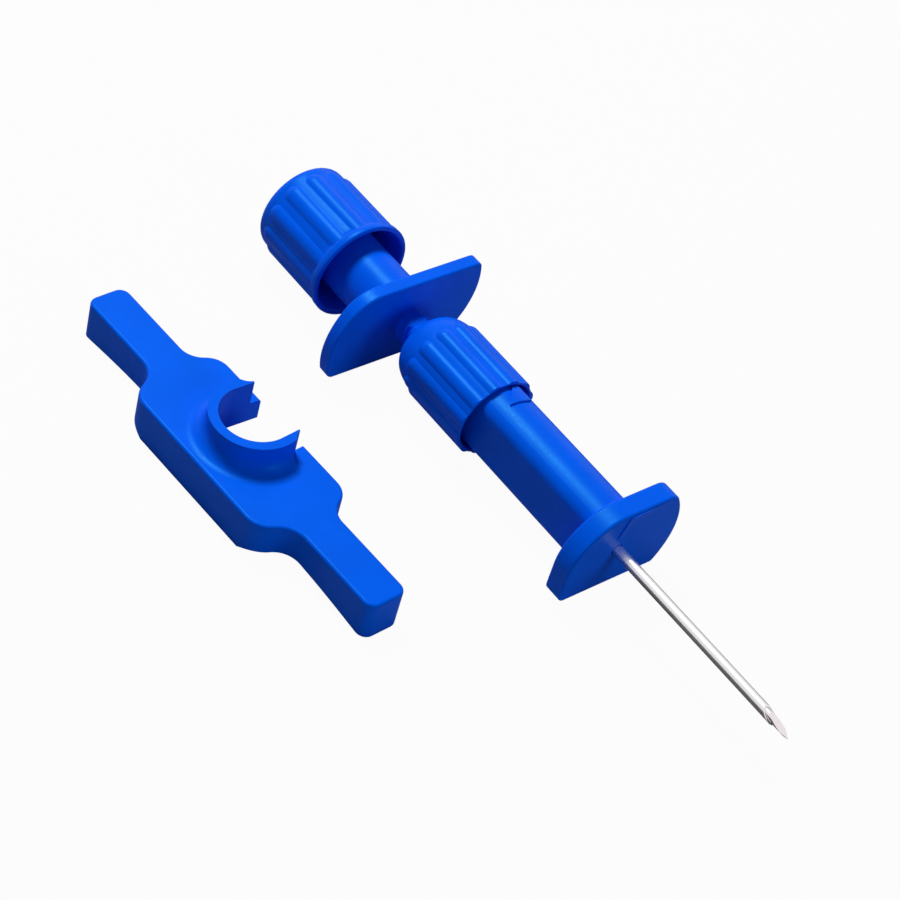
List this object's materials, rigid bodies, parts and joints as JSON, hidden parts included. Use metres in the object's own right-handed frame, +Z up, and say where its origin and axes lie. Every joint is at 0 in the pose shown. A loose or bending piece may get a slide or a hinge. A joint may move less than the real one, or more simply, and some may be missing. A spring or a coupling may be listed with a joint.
{
  "type": "bone marrow aspiration needle with winged handle",
  "caption": "Bone marrow aspiration needle with fluted stylet cap, skewed finger flange, screw depth nut and sliding skin plate, beside its winged clip handle.",
  "frame": {"origin": "on the needle axis in the middle of the stylet cap's end face", "axes": "+X along the needle axis to the tip, +Z up from the table, the winged handle on the -Y side"},
  "size_m": [0.124, 0.0616, 0.0182],
  "materials": {
    "blue_plastic": "satin",
    "cannula_steel": "satin",
    "stylet_steel": "satin",
    "adhesive": "gloss"
  },
  "bodies": {
    "needle": {"needle_hub": "blue_plastic", "cannula": "cannula_steel", "cannula_bond": "adhesive"},
    "stylet": {"stylet_cap": "blue_plastic", "stylet_rod": "stylet_steel", "stylet_bond": "adhesive"},
    "guard": {"depth_guard": "blue_plastic"},
    "nut": {"depth_nut": "blue_plastic"},
    "winged_handle": {"handle": "blue_plastic"}
  },
  "joints": [
    {"name": "guard_travel", "type": "slide", "parent": "needle", "child": "guard", "axis": [1, 0, 0], "range_m": [-0.0044, 0.028]},
    {"name": "nut_spin", "type": "hinge", "parent": "guard", "child": "nut", "pos_m": [0.0303, 0, 0], "axis": [1, 0, 0], "range_deg": [-907, 5762]},
    {"name": "stylet_withdraw", "type": "slide", "parent": "needle", "child": "stylet", "axis": [-1, 0, 0], "range_m": [0, 0.125]},
    {"name": "handle_lift", "type": "slide", "parent": "needle", "child": "winged_handle", "axis": [0, 0, 1], "range_m": [0, 0.03]}
  ],
  "couplings": [
    {"joint": "nut_spin", "follows": "guard_travel", "rad_per_m": 3590.4}
  ]
}
